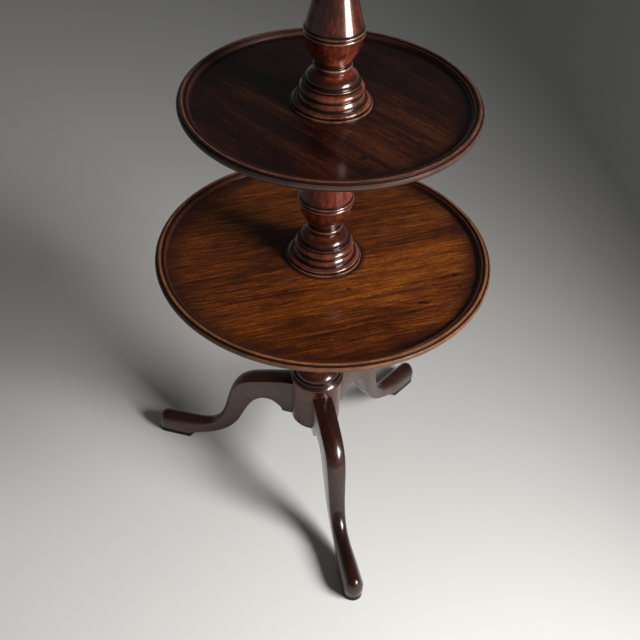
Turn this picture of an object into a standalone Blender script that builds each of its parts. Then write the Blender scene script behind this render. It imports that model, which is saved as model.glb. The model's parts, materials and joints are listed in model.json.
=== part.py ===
"""Three-tier dumbwaiter table.

Three dished round trays turn on a turned column that stands on three cabriole legs.
Metres, +Z up. The origin is on the floor, at the middle of the table's bounding box.
"""

import bpy
import bmesh
from math import copysign, cos, pi, radians, sin
from mathutils import Vector

# Trays: outer radii, the height of the lower rim above the floor, and the steps between rims.
lower_tray_r = 0.300
middle_tray_r = 0.246
top_tray_r = 0.195
lower_rim_h = 0.586
lower_stage_h = 0.310
upper_stage_h = 0.310
tray_t = 0.0195
dish_depth = 0.0095

# The moulded rim, from the outer edge inwards: nose, bead, groove, fillet, cove.
nose_w = 0.0036
nose_h = 0.0044
bead_w = 0.0088
bead_h = 0.0032
groove_w = 0.0018
fillet_w = 0.0033
fillet_drop = 0.0024
cove_w = 0.0050
under_curve_w = 0.018

# Bearers: the round blocks that are screwed under the trays and turn on the column.
bearer_r = 0.065
bearer_t = 0.016
bearer_edge_r = 0.005
bearer_screw_circle_r = 0.051
bearer_screw_count = 4

# The vase stems, whose bases stand in a shallow round seat in the tray's field. Radii in the tables
# are shares of stem_base_r or cap_r, heights of vase_h or cap_h.
stem_base_r = 0.067
stem_seat_depth = 0.0005
vase_h = 0.132
shaft_neck_r = 0.0230
cap_r = 0.037
cap_h = 0.036
spindle_r = 0.014
socket_depth = 0.055
pivot_r = 0.011
pivot_top_gap = 0.001
end_chamfer = 0.0015

# Each row: foot radius, head radius, height, outward bow.
base_ring_rows_share = (
    (1.000, 1.000, 0.023, 0.0),
    (0.910, 0.880, 0.064, 0.052),
    (0.806, 0.760, 0.087, 0.018),
)
vase_rows_share = (
    (0.731, 0.700, 0.113, 0.069),
    (0.709, 0.701, 0.030, 0.0),
    (0.642, 0.418, 0.136, 0.082),
    (0.418, 0.410, 0.041, 0.0),
    (0.440, 0.440, 0.041, 0.027),
    (0.425, 0.418, 0.038, 0.0),
    (0.433, 0.694, 0.322, 0.060),
    (0.694, 0.694, 0.052, 0.027),
    (0.694, 0.679, 0.053, 0.036),
)
cap_rows_share = (
    (0.676, 0.676, 0.139, 0.095),
    (0.689, 0.892, 0.444, -0.080),
    (0.946, 0.946, 0.083, 0.0),
    (0.973, 0.973, 0.250, 0.068),
    (1.000, 1.000, 0.084, 0.0),
)
shaft_foot_share = 0.679
shaft_bow_share = -0.037

# The drum at the foot of the column, into which the legs are dovetailed.
drum_base_h = 0.162
drum_h = 0.102
drum_r = 0.049
tongue_depth = 0.0155
tongue_root_w = 0.014
tongue_end_w = 0.020
tongue_top_drop = 0.012
tongue_lap = 0.003

# Legs: azimuths as they stand in the photograph, where the right one is off the even spacing.
leg_azimuths = {"front": radians(-90.0), "left": radians(150.0), "right": radians(37.0)}
leg_reach = 0.3545
leg_top_drop = 0.014
leg_w = 0.040
toe_r = 0.0192
toe_h = 0.038
pad_t = 0.012
pad_inset = 0.0012
pad_length = 0.075
pad_heel_slant = 0.009

# Stations along the leg: top point, under point, width, crown depth. Places run from the drum
# to the toe's middle, heights from the pad to the leg's top (upper) or to the drum's base (under).
leg_stations_share = (
    (0.045, 0.996, 0.055, 1.000, 1.000, 0.14),
    (0.085, 0.987, 0.066, 1.045, 1.000, 0.15),
    (0.135, 0.974, 0.098, 1.105, 1.000, 0.16),
    (0.190, 0.958, 0.145, 1.155, 0.995, 0.17),
    (0.250, 0.936, 0.207, 1.150, 0.990, 0.18),
    (0.322, 0.908, 0.265, 1.080, 0.975, 0.20),
    (0.390, 0.858, 0.310, 0.965, 0.955, 0.21),
    (0.440, 0.777, 0.342, 0.840, 0.925, 0.22),
    (0.474, 0.675, 0.373, 0.700, 0.880, 0.24),
    (0.499, 0.557, 0.410, 0.540, 0.830, 0.26),
    (0.524, 0.430, 0.472, 0.370, 0.775, 0.28),
    (0.558, 0.322, 0.557, 0.220, 0.720, 0.30),
    (0.608, 0.242, 0.652, 0.115, 0.700, 0.32),
    (0.677, 0.200, 0.740, 0.045, 0.750, 0.34),
    (0.763, 0.183, 0.800, 0.000, 0.850, 0.36),
    (0.862, 0.174, 0.875, 0.000, 0.930, 0.38),
)

# Powers that round the toe's top and the crowned upper side: under 1 is squarer than an ellipse.
toe_round_power = 0.6
crown_flank_power = 0.7
crown_rise_power = 0.8
toe_turn = radians(80.0)

# The iron brace under the drum.
brace_t = 0.003
brace_arm_w = 0.018
brace_reach = 0.062
brace_screw_inner_r = 0.020

# Countersunk wood screws.
screw_head_r = 0.0042
screw_head_h = 0.0024
screw_shank_r = 0.0021
tray_screw_l = 0.022
brace_screw_l = 0.016

# Clearances: the seat gap between touching pieces, and how far a cutter runs past a face.
gap = 0.0003
overrun = 0.002

# Facets round each turning and steps along each curved stretch.
tray_facets = {"lower": 48, "middle": 40, "top": 40}
stem_facets = 20
bearer_facets = 32
screw_facets = 10
short_steps = 2
long_steps = 4
long_row_h = 0.012
crown_steps = 6
toe_steps = 5

# Faces that meet at less than these angles are shaded as one smooth surface.
smooth_angle = radians(28.0)
leg_smooth_angle = radians(40.0)

# Heights that follow from the sizes above.
leg_top_h = drum_base_h + drum_h - leg_top_drop
tray_rims = {"lower": lower_rim_h, "middle": lower_rim_h + lower_stage_h,
             "top": lower_rim_h + lower_stage_h + upper_stage_h}
tray_radii = {"lower": lower_tray_r, "middle": middle_tray_r, "top": top_tray_r}


def field_h(tier):
    return tray_rims[tier] - dish_depth


def shoulder_h(tier):
    """Top of the stem that carries this tier's bearer."""
    return tray_rims[tier] - tray_t - gap - bearer_t - gap


def stem_seat_h(tier):
    """Underside of the stem that stands on this tier's tray."""
    return field_h(tier) - stem_seat_depth + gap


def flat_bore_r(shaft_r, facets):
    """Corner radius of a faceted bore whose flats clear a shaft by the seat gap."""
    return (shaft_r + gap) / cos(pi / facets)


def clear_scene():
    for item in list(bpy.data.objects):
        bpy.data.objects.remove(item, do_unlink=True)
    for mesh in list(bpy.data.meshes):
        bpy.data.meshes.remove(mesh)


def make_material(name, color, roughness, metallic=0.0):
    material = bpy.data.materials.new(name)
    material.use_nodes = True
    shader = material.node_tree.nodes["Principled BSDF"]
    shader.inputs["Base Color"].default_value = (*color, 1.0)
    shader.inputs["Roughness"].default_value = roughness
    shader.inputs["Metallic"].default_value = metallic
    material.diffuse_color = (*color, 1.0)
    return material


tray_wood = (0.150, 0.052, 0.022)
stem_wood = (0.110, 0.030, 0.016)
leg_wood = (0.070, 0.021, 0.014)
pad_wood = (0.020, 0.014, 0.012)
bearer_wood = (0.130, 0.060, 0.030)
iron = (0.055, 0.050, 0.048)
polish_roughness = 0.28
bare_roughness = 0.60


def add_object(name, mesh, parent, color, roughness, metallic=0.0):
    item = bpy.data.objects.new(name, mesh)
    bpy.context.scene.collection.objects.link(item)
    item.parent = parent
    if not mesh.materials:
        mesh.materials.append(None)
    item.material_slots[0].link = "OBJECT"
    item.material_slots[0].material = make_material(name, color, roughness, metallic)
    return item


def add_empty(name, location, parent=None):
    item = bpy.data.objects.new(name, None)
    bpy.context.scene.collection.objects.link(item)
    item.parent = parent
    item.location = location
    return item


def finish_mesh(name, bm, sharp_angle=smooth_angle):
    bmesh.ops.recalc_face_normals(bm, faces=bm.faces)
    mesh = bpy.data.meshes.new(name)
    bm.to_mesh(mesh)
    bm.free()
    mesh.shade_smooth()
    mesh.set_sharp_from_angle(angle=sharp_angle)
    return mesh


def lathe_mesh(name, profile, facets):
    """Turn an outline of (radius, height) points about +Z into one closed mesh."""
    bm = bmesh.new()
    points = [bm.verts.new((radius, 0.0, height)) for radius, height in profile]
    edges = [bm.edges.new(pair) for pair in zip(points, points[1:])]
    bmesh.ops.spin(bm, geom=points + edges, cent=(0, 0, 0), axis=(0, 0, 1),
                   angle=2 * pi, steps=facets, use_merge=True)
    bmesh.ops.remove_doubles(bm, verts=bm.verts, dist=gap / 100)
    return finish_mesh(name, bm)


def arc(centre_r, centre_z, half_w, half_h, start, end, steps):
    """Points along a stretch of an ellipse, angles counted from +radius towards +Z."""
    turns = [start + (end - start) * i / steps for i in range(steps + 1)]
    return [(centre_r + half_w * cos(a), centre_z + half_h * sin(a)) for a in turns]


def turned_rows(rows, foot_z, r_unit, h_unit):
    """Outline of a stack of mouldings, from the foot up."""
    points = []
    z = foot_z
    for foot, head, height, bow in rows:
        steps = 1
        if bow:
            steps = long_steps if height * h_unit > long_row_h else short_steps
        for i in range(steps + 1):
            t = i / steps
            radius = foot + (head - foot) * t + bow * sin(pi * t)
            points.append((radius * r_unit, z + height * h_unit * t))
        z += height * h_unit
    return points


def shaft_points(foot_z, head_z):
    foot_r = shaft_foot_share * stem_base_r
    points = []
    for i in range(long_steps + 1):
        t = i / long_steps
        bow = shaft_bow_share * stem_base_r * sin(pi * t)
        points.append((foot_r + (shaft_neck_r - foot_r) * t + bow, foot_z + (head_z - foot_z) * t))
    return points


def rows_height(rows, h_unit):
    return sum(row[2] for row in rows) * h_unit


def stem_outline(foot_rows, foot_z, top_z):
    """Mouldings, vase, shaft and cap, between the foot and the shoulder that carries a bearer."""
    vase_z = foot_z + rows_height(foot_rows, vase_h)
    shaft_z = vase_z + rows_height(vase_rows_share, vase_h)
    cap_z = top_z - cap_h
    return (turned_rows(foot_rows, foot_z, stem_base_r, vase_h)
            + turned_rows(vase_rows_share, vase_z, stem_base_r, vase_h)
            + shaft_points(shaft_z, cap_z)[1:]
            + turned_rows(cap_rows_share, cap_z, cap_r, cap_h))


def socket_outline(top_z):
    radius = flat_bore_r(spindle_r, stem_facets)
    floor_z = top_z - socket_depth
    return [(radius, top_z), (radius, floor_z), (0.0, floor_z)]


def spindle_outline(seat_z, carried_tier):
    """The stem's spindle, down through the tray and its bearer into the socket below."""
    tip_z = shoulder_h(carried_tier) - socket_depth + gap
    return [(0.0, tip_z), (spindle_r - end_chamfer, tip_z), (spindle_r, tip_z + end_chamfer),
            (spindle_r, seat_z)]


def make_lower_column(axis):
    top_z = shoulder_h("lower")
    drum_top = drum_base_h + drum_h
    outline = [(0.0, drum_base_h), (drum_r, drum_base_h), (drum_r, drum_top)]
    outline += stem_outline((), drum_top, top_z)
    outline += socket_outline(top_z)
    return add_object("lower_column", lathe_mesh("lower_column", outline, stem_facets), axis,
                      stem_wood, polish_roughness)


def make_middle_stem(axis):
    seat_z = stem_seat_h("lower")
    top_z = shoulder_h("middle")
    outline = spindle_outline(seat_z, "lower")
    outline += stem_outline(base_ring_rows_share, seat_z, top_z)
    outline += socket_outline(top_z)
    return add_object("middle_stem", lathe_mesh("middle_stem", outline, stem_facets), axis,
                      stem_wood, polish_roughness)


def make_upper_stem(axis):
    seat_z = stem_seat_h("middle")
    top_z = shoulder_h("top")
    pivot_z = top_z + gap + bearer_t - pivot_top_gap
    outline = spindle_outline(seat_z, "middle")
    outline += stem_outline(base_ring_rows_share, seat_z, top_z)
    outline += [(pivot_r, top_z), (pivot_r, pivot_z - end_chamfer),
                (pivot_r - end_chamfer, pivot_z), (0.0, pivot_z)]
    return add_object("upper_stem", lathe_mesh("upper_stem", outline, stem_facets), axis,
                      stem_wood, polish_roughness)


def rim_outline(edge_r, rim_z):
    """Rim mouldings from the dished field out over the bead and down round the underside."""
    nose_z = rim_z - bead_h - nose_h
    bead_r = edge_r - nose_w - bead_w / 2
    fillet_r = edge_r - nose_w - bead_w - groove_w
    cove_r = fillet_r - fillet_w - cove_w
    fillet_z = rim_z - fillet_drop
    points = arc(cove_r, fillet_z, cove_w, dish_depth - fillet_drop, -pi / 2, 0.0, short_steps)
    points += [(fillet_r, fillet_z), (fillet_r + groove_w / 2, rim_z - bead_h)]
    points += arc(bead_r, rim_z - bead_h, bead_w / 2, bead_h, pi, 0.0, long_steps)[:-1]
    points += arc(edge_r - nose_w, nose_z, nose_w, nose_h, pi / 2, 0.0, short_steps)
    points += arc(edge_r - under_curve_w, nose_z, under_curve_w, nose_z - (rim_z - tray_t),
                  0.0, -pi / 2, short_steps + 1)[1:]
    return points


def make_tray(tier, turn_axis):
    """A dished tray about its turning axis. Heights are taken from the axis empty on the shoulder."""
    rim_z = tray_rims[tier] - shoulder_h(tier)
    field_z = rim_z - dish_depth
    under_z = rim_z - tray_t
    rim = rim_outline(tray_radii[tier], rim_z)
    if tier == "top":
        outline = [(0.0, field_z)] + rim + [(0.0, under_z)]
    else:
        bore_r = flat_bore_r(spindle_r, tray_facets[tier])
        seat_r = flat_bore_r(stem_base_r, tray_facets[tier])
        seat_z = field_z - stem_seat_depth
        stem_seat = [(bore_r, seat_z), (seat_r, seat_z), (seat_r, field_z)]
        outline = stem_seat + rim + [(bore_r, under_z), (bore_r, seat_z)]
    name = tier + "_tray"
    return add_object(name, lathe_mesh(name, outline, tray_facets[tier]), turn_axis,
                      tray_wood, polish_roughness)


def make_bearer(tier, turn_axis):
    """The block under a tray, bored for the spindle, with a rounded lower edge."""
    shaft_r = pivot_r if tier == "top" else spindle_r
    bore_r = flat_bore_r(shaft_r, bearer_facets)
    edge = arc(bearer_r - bearer_edge_r, gap + bearer_edge_r, bearer_edge_r, bearer_edge_r,
               -pi / 2, 0.0, short_steps + 1)
    outline = [(bore_r, gap)] + edge + [(bearer_r, gap + bearer_t), (bore_r, gap + bearer_t),
                                        (bore_r, gap)]
    name = tier + "_bearer"
    return add_object(name, lathe_mesh(name, outline, bearer_facets), turn_axis,
                      bearer_wood, bare_roughness)


def screw_outline(length, clearance):
    """From the edge of the head, at z = 0, up to the middle of the tip."""
    return [(screw_head_r + clearance, 0.0),
            (screw_shank_r + clearance, screw_head_h + clearance),
            (screw_shank_r + clearance, length - screw_shank_r),
            (screw_shank_r / 2 + clearance, length + clearance), (0.0, length + clearance)]


def screw_mesh(name, length):
    """A countersunk screw that points up from its head."""
    return lathe_mesh(name, [(0.0, 0.0)] + screw_outline(length, 0.0), screw_facets)


def screw_hole_mesh(name, length):
    """The cutter for a screw: the seat gap all round, and past the face under the head."""
    foot = [(0.0, -overrun), (screw_head_r + gap, -overrun)]
    return lathe_mesh(name, foot + screw_outline(length, gap), screw_facets)


def hide_cutter(item):
    item.hide_render = True
    item.display_type = "WIRE"
    return item


def add_cutter(name, mesh, parent):
    item = bpy.data.objects.new(name, mesh)
    bpy.context.scene.collection.objects.link(item)
    item.parent = parent
    return hide_cutter(item)


def add_boolean(target, tool, operation):
    modifier = target.modifiers.new(tool.name, "BOOLEAN")
    modifier.operation = operation
    modifier.solver = "EXACT"
    modifier.object = tool


def merged_cutter(name, mesh, places, parent):
    """One cutter object with a copy of the mesh at each place."""
    bm = bmesh.new()
    for place in places:
        start = len(bm.verts)
        bm.from_mesh(mesh)
        bm.verts.ensure_lookup_table()
        bmesh.ops.translate(bm, verts=bm.verts[start:], vec=place)
    return add_cutter(name, finish_mesh(name, bm), parent)


def circle_places(radius, count, height, start=0.0):
    turns = [start + 2 * pi * i / count for i in range(count)]
    return [Vector((radius * cos(a), radius * sin(a), height)) for a in turns]


def fasten_bearer(tier, tray, bearer, turn_axis, screw, hole):
    places = circle_places(bearer_screw_circle_r, bearer_screw_count, gap, pi / bearer_screw_count)
    holes = merged_cutter(tier + "_screw_holes", hole, places, turn_axis)
    add_boolean(tray, holes, "DIFFERENCE")
    add_boolean(bearer, holes, "DIFFERENCE")
    for number, place in enumerate(places, start=1):
        item = add_object("%s_bearer_screw_%d" % (tier, number), screw, turn_axis, iron,
                          bare_roughness, 1.0)
        item.location = place


def make_turntable(tier, axis, screw, hole):
    turn_axis = add_empty(tier + "_turn_axis", (0, 0, shoulder_h(tier)), axis)
    tray = make_tray(tier, turn_axis)
    bearer = make_bearer(tier, turn_axis)
    fasten_bearer(tier, tray, bearer, turn_axis, screw, hole)


def leg_stations():
    """Top point, under point, width and crown depth, in the upright plane of the leg."""
    toe_s = leg_reach - toe_r
    span = toe_s - drum_r
    foot_z = pad_t + gap
    rise = leg_top_h - foot_z
    under_rise = drum_base_h - foot_z
    hub_crown = leg_w * leg_stations_share[0][-1]
    stations = [((s, leg_top_h), (s, drum_base_h), leg_w, hub_crown)
                for s in (drum_r - tongue_depth, drum_r)]
    for top_s, top_h, under_s, under_h, width, crown in leg_stations_share:
        stations.append(((drum_r + span * top_s, foot_z + rise * top_h),
                         (drum_r + span * under_s, foot_z + under_rise * under_h),
                         leg_w * width, leg_w * width * crown))
    toe_crown = leg_w * leg_stations_share[-1][-1]
    for i in range(toe_steps + 1):
        turn = toe_turn * i / toe_steps
        s = toe_s + toe_r * sin(turn)
        top_z = foot_z + toe_h * cos(turn) ** toe_round_power
        stations.append(((s, top_z), (s, foot_z), 2 * toe_r * cos(turn),
                         min(toe_crown, (top_z - foot_z) / 2)))
    return stations


def leg_section(top, under, width, crown):
    """One cross-section: flat under, flat sides, crowned top."""
    top = Vector((top[0], 0, top[1]))
    under = Vector((under[0], 0, under[1]))
    rise = (top - under).normalized()
    side = top - rise * crown
    points = [under + Vector((0, -width / 2, 0)), under + Vector((0, width / 2, 0))]
    for i in range(crown_steps + 1):
        turn = pi * i / crown_steps
        across = copysign(width / 2 * abs(cos(turn)) ** crown_flank_power, cos(turn))
        points.append(side + rise * crown * sin(turn) ** crown_rise_power + Vector((0, across, 0)))
    return points


def leg_mesh(name):
    bm = bmesh.new()
    rings = []
    for station in leg_stations():
        rings.append([bm.verts.new(point) for point in leg_section(*station)])
    for first, second in zip(rings, rings[1:]):
        for i in range(len(first)):
            j = (i + 1) % len(first)
            bm.faces.new((first[i], first[j], second[j], second[i]))
    bm.faces.new(rings[0])
    bm.faces.new(rings[-1])
    return finish_mesh(name, bm, leg_smooth_angle)


def tongue_mesh(name, clearance, bottom, top, outer_s):
    """The dovetail on the leg's inner end, or with a clearance the socket in the drum."""
    inner_s = drum_r - tongue_depth - clearance
    flare = (tongue_end_w - tongue_root_w) / 2 / tongue_depth
    inner_half = tongue_end_w / 2 + clearance + flare * clearance
    outer_half = inner_half - flare * (outer_s - inner_s)
    corners = [(inner_s, -inner_half), (outer_s, -outer_half), (outer_s, outer_half),
               (inner_s, inner_half)]
    bm = bmesh.new()
    face = bm.faces.new([bm.verts.new((s, y, bottom)) for s, y in corners])
    lifted = bmesh.ops.extrude_face_region(bm, geom=[face])["geom"]
    bmesh.ops.translate(bm, verts=[v for v in lifted if isinstance(v, bmesh.types.BMVert)],
                        vec=(0, 0, top - bottom))
    return finish_mesh(name, bm)


def sole_half_w(heel_s):
    """Half the width of the leg's flat under side, at a place along the leg."""
    sole = [(under[0], width / 2) for top, under, width, crown in leg_stations()]
    for (low_s, low_half), (high_s, high_half) in zip(sole, sole[1:]):
        if low_s <= heel_s <= high_s:
            return low_half + (high_half - low_half) * (heel_s - low_s) / (high_s - low_s)
    return toe_r


def pad_outline(heel_s):
    """Plan of the pad: straight flanks from the heel line, and a round toe."""
    heel_half = sole_half_w(heel_s) - pad_inset
    round_r = toe_r - pad_inset
    toe = arc(leg_reach - toe_r, 0.0, round_r, round_r, pi / 2, -pi / 2, 2 * toe_steps)
    return [(heel_s, heel_half)] + toe + [(heel_s, -heel_half)]


def pad_mesh(name):
    bm = bmesh.new()
    rings = []
    heel_s = leg_reach - pad_length
    for height, back_s in ((0.0, heel_s), (pad_t, heel_s - pad_heel_slant)):
        rings.append([bm.verts.new((s, y, height)) for s, y in pad_outline(back_s)])
    for i in range(len(rings[0])):
        j = (i + 1) % len(rings[0])
        bm.faces.new((rings[0][i], rings[0][j], rings[1][j], rings[1][i]))
    bm.faces.new(rings[0])
    bm.faces.new(rings[1])
    return finish_mesh(name, bm)


def make_legs(axis, column):
    drum_space = add_cutter("drum_space", lathe_mesh("drum_space", [
        (0.0, drum_base_h - overrun), (drum_r + gap, drum_base_h - overrun),
        (drum_r + gap, leg_top_h + overrun), (0.0, leg_top_h + overrun)], stem_facets), axis)
    tongue_top = leg_top_h - tongue_top_drop
    tongue = tongue_mesh("tongue", 0.0, drum_base_h + gap, tongue_top, drum_r + tongue_lap)
    socket = tongue_mesh("socket", gap, drum_base_h - overrun, tongue_top + gap,
                         drum_r + tongue_lap)
    leg_shape = leg_mesh("leg")
    pad_shape = pad_mesh("foot_pad")
    for side, azimuth in leg_azimuths.items():
        leg = add_object("leg_" + side, leg_shape, axis, leg_wood, polish_roughness)
        pad = add_object("foot_pad_" + side, pad_shape, axis, pad_wood, bare_roughness)
        own_tongue = add_cutter("tongue_" + side, tongue, axis)
        own_socket = add_cutter("socket_" + side, socket, axis)
        for item in (leg, pad, own_tongue, own_socket):
            item.rotation_euler.z = azimuth
        add_boolean(leg, drum_space, "DIFFERENCE")
        add_boolean(leg, own_tongue, "UNION")
        add_boolean(column, own_socket, "DIFFERENCE")


def brace_mesh(name):
    """Three round-ended arms about a common middle, as one flat plate."""
    half = brace_arm_w / 2
    end_s = brace_reach - half
    turns = sorted(leg_azimuths.values())
    outline = []
    for index, turn in enumerate(turns):
        out = Vector((cos(turn), sin(turn), 0))
        across = Vector((-sin(turn), cos(turn), 0))
        for i in range(long_steps + 1):
            a = -pi / 2 + pi * i / long_steps
            outline.append(out * (end_s + half * cos(a)) + across * half * sin(a))
        opening = (turns[(index + 1) % len(turns)] - turn) % (2 * pi)
        middle = turn + opening / 2
        notch = half / sin(opening / 2)
        outline.append(Vector((cos(middle), sin(middle), 0)) * notch)
    bm = bmesh.new()
    face = bm.faces.new([bm.verts.new(point) for point in outline])
    lifted = bmesh.ops.extrude_face_region(bm, geom=[face])["geom"]
    bmesh.ops.translate(bm, verts=[v for v in lifted if isinstance(v, bmesh.types.BMVert)],
                        vec=(0, 0, brace_t))
    return finish_mesh(name, bm)


def make_brace(axis, column, legs):
    plate_z = drum_base_h - gap - brace_t
    plate_axis = add_empty("brace_seat", (0, 0, plate_z), axis)
    plate = add_object("leg_brace", brace_mesh("leg_brace"), plate_axis, iron, bare_roughness, 1.0)
    outer_r = brace_reach - brace_arm_w / 2
    places = [Vector((r * cos(a), r * sin(a), 0)) for a in leg_azimuths.values()
              for r in (brace_screw_inner_r, outer_r)]
    screw = screw_mesh("brace_screw", brace_screw_l)
    hole = screw_hole_mesh("brace_screw_hole", brace_screw_l)
    holes = merged_cutter("brace_screw_holes", hole, places, plate_axis)
    for target in [plate, column] + legs:
        add_boolean(target, holes, "DIFFERENCE")
    for number, place in enumerate(places, start=1):
        item = add_object("brace_screw_%d" % number, screw, plate_axis, iron, bare_roughness, 1.0)
        item.location = place


def centre_on_box(axis):
    """Stand the column so that the origin is the middle of the table's footprint."""
    bpy.context.view_layer.update()
    corners = [item.matrix_world @ vertex.co for item in bpy.data.objects
               if item.type == "MESH" and not item.hide_render for vertex in item.data.vertices]
    for i in (0, 1):
        values = [corner[i] for corner in corners]
        axis.location[i] = -(min(values) + max(values)) / 2


def build():
    clear_scene()
    axis = add_empty("column_axis", (0, 0, 0))
    column = make_lower_column(axis)
    make_middle_stem(axis)
    make_upper_stem(axis)
    make_legs(axis, column)
    legs = [bpy.data.objects["leg_" + side] for side in leg_azimuths]
    make_brace(axis, column, legs)
    tray_screw = screw_mesh("tray_screw", tray_screw_l)
    tray_hole = screw_hole_mesh("tray_screw_hole", tray_screw_l)
    for tier in tray_radii:
        make_turntable(tier, axis, tray_screw, tray_hole)
    centre_on_box(axis)
    bpy.context.view_layer.update()


build()
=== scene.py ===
"""Looks of the three-tier dumbwaiter table, in polished old mahogany.

Metres, +Z up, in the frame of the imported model. Turned pieces are modelled about the column's axis
and legs along +X from it, so that each piece's grain belongs to the piece and turns with it.
"""

import json
from math import ceil, cos, exp, pi, radians, sin, sqrt

import bmesh
import bpy
from mathutils import Matrix, Vector, noise


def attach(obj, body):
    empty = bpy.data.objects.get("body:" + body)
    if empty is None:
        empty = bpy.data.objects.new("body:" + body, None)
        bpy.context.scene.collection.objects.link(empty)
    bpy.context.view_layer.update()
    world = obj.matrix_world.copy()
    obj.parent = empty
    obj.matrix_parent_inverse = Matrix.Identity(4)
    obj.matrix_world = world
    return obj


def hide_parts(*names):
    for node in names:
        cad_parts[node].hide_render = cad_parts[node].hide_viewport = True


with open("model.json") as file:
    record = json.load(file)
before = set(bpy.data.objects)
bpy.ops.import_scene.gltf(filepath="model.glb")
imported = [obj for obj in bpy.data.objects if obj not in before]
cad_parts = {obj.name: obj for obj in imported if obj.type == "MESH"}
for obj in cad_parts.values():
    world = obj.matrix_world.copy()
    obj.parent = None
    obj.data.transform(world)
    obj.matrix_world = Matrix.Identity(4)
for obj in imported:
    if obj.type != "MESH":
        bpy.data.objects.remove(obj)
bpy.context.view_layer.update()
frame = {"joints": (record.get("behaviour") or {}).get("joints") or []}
column_x, column_y = frame["joints"][0]["pos_m"][:2]

# Sizes of the model that the finished pieces follow.
lower_tray_r = 0.300
middle_tray_r = 0.246
top_tray_r = 0.195
lower_rim_h = 0.586
stage_h = 0.310
tray_t = 0.0195
dish_depth = 0.0095

nose_w = 0.0036
nose_h = 0.0044
bead_w = 0.0088
bead_h = 0.0032
groove_w = 0.0018
fillet_w = 0.0033
fillet_drop = 0.0024
cove_w = 0.0050
under_curve_w = 0.018

bearer_r = 0.065
bearer_t = 0.016
bearer_edge_r = 0.005
bearer_screw_circle_r = 0.051
bearer_screw_count = 4

stem_base_r = 0.067
stem_seat_depth = 0.0005
vase_h = 0.132
shaft_neck_r = 0.0230
shaft_foot_share = 0.679
shaft_bow_share = -0.037
cap_r = 0.037
cap_h = 0.036
spindle_r = 0.014
socket_depth = 0.055
pivot_r = 0.011
pivot_top_gap = 0.001
end_chamfer = 0.0015

drum_base_h = 0.162
drum_h = 0.102
drum_r = 0.049
tongue_depth = 0.0155
tongue_root_w = 0.014
tongue_end_w = 0.020
tongue_top_drop = 0.012
tongue_lap = 0.003

leg_azimuths = {"front": radians(-90.0), "left": radians(150.0), "right": radians(37.0)}
leg_reach = 0.3545
leg_top_drop = 0.014
leg_w = 0.040
toe_r = 0.0192
toe_h = 0.038
toe_round_power = 0.6
toe_turn = radians(80.0)
pad_t = 0.012
pad_inset = 0.0012
pad_length = 0.075
pad_heel_slant = 0.009

brace_t = 0.003
brace_arm_w = 0.018
brace_reach = 0.062
brace_screw_inner_r = 0.020
screw_head_r = 0.0042
screw_head_h = 0.0024
screw_shank_r = 0.0021
tray_screw_l = 0.022
brace_screw_l = 0.016
gap = 0.0003
overrun = 0.002
quirk_w = 0.0010
quirk_depth = 0.0012

# Finer shape than the model's: slots and softened arrises, and how finely each piece is cut.
slot_w = 0.0009
slot_depth = 0.0010
bearer_slot_turn = radians(37.0)
tier_slot_turn = radians(11.0)
brace_slot_turn = radians(53.0)
polish_round = 0.0005
leg_arris_round = 0.0008
pad_round = 0.0010
plate_round = 0.0005
support_w = 0.0004
wide_step = 0.016
arc_step = 0.0007
wear_reach = 0.0012
grime_and_shade_reach = 0.0022
mark_reach = 0.0040
tray_facets = 192
stem_facets = 96
screw_facets = 32
shaft_steps = 40
toe_pad_steps = 28
brace_end_steps = 16
tiny = 1e-7
least_corner = radians(24.0)
most_cut_share = 0.45
curve_points = 4
bevel_from = radians(35.0)
crease_from = radians(50.0)
full_bend = 1.2
tray_round = 0.0003
screw_round = 0.0002
hole_round = 0.00005
bead_end = radians(14.0)
nose_start = radians(74.0)

# How far each rim has dried out of true.
sway_reach = 0.030
slow_waves = 1.3
fast_waves = 14.0
slow_inward = 0.00035
fast_inward = 0.00012
slow_down = 0.00025
first_rim_seed = 10.0

# The leg's crowned top, its arrises, its stations and its toe.
crown_points = 24
crown_start = 50.0
crown_start_fall = 74.0
flat_crown_share = 0.14
full_crown_share = 0.4
arris_share = 0.2
station_steps = 8
toe_steps = 24
toe_last_turn = radians(87.0)
toe_crown_growth = 1.04
toe_crown_share = 0.55

rim_heights = {"lower": lower_rim_h, "middle": lower_rim_h + stage_h,
               "top": lower_rim_h + 2 * stage_h}
tray_radii = {"lower": lower_tray_r, "middle": middle_tray_r, "top": top_tray_r}
leg_top_h = drum_base_h + drum_h - leg_top_drop
brace_z = drum_base_h - gap - brace_t

# Rows of each turning from the foot up: foot radius, head radius, height, outward bow.
base_rows_share = (
    (1.000, 1.000, 0.023, 0.0),
    (0.910, 0.880, 0.056, 0.052),
    (0.820, 0.820, 0.008, 0.0),
    (0.806, 0.760, 0.078, 0.018),
    (0.730, 0.730, 0.009, 0.0),
)
vase_rows_share = (
    (0.731, 0.700, 0.105, 0.069),
    (0.680, 0.680, 0.008, 0.0),
    (0.709, 0.701, 0.019, 0.0),
    (0.649, 0.649, 0.011, 0.0),
    (0.642, 0.418, 0.136, 0.082),
    (0.418, 0.410, 0.041, 0.0),
    (0.440, 0.440, 0.041, 0.027),
    (0.418, 0.418, 0.015, 0.0),
    (0.440, 0.440, 0.015, 0.0),
    (0.418, 0.418, 0.008, 0.0),
    (0.433, 0.694, 0.322, 0.060),
    (0.694, 0.694, 0.049, 0.027),
    (0.680, 0.680, 0.006, 0.0),
    (0.694, 0.679, 0.044, 0.036),
    (0.664, 0.664, 0.006, 0.0),
)
cap_rows_share = (
    (0.676, 0.676, 0.139, 0.095),
    (0.689, 0.892, 0.444, -0.080),
    (0.946, 0.946, 0.083, 0.0),
    (0.973, 0.973, 0.250, 0.068),
    (1.000, 1.000, 0.084, 0.0),
)

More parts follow.
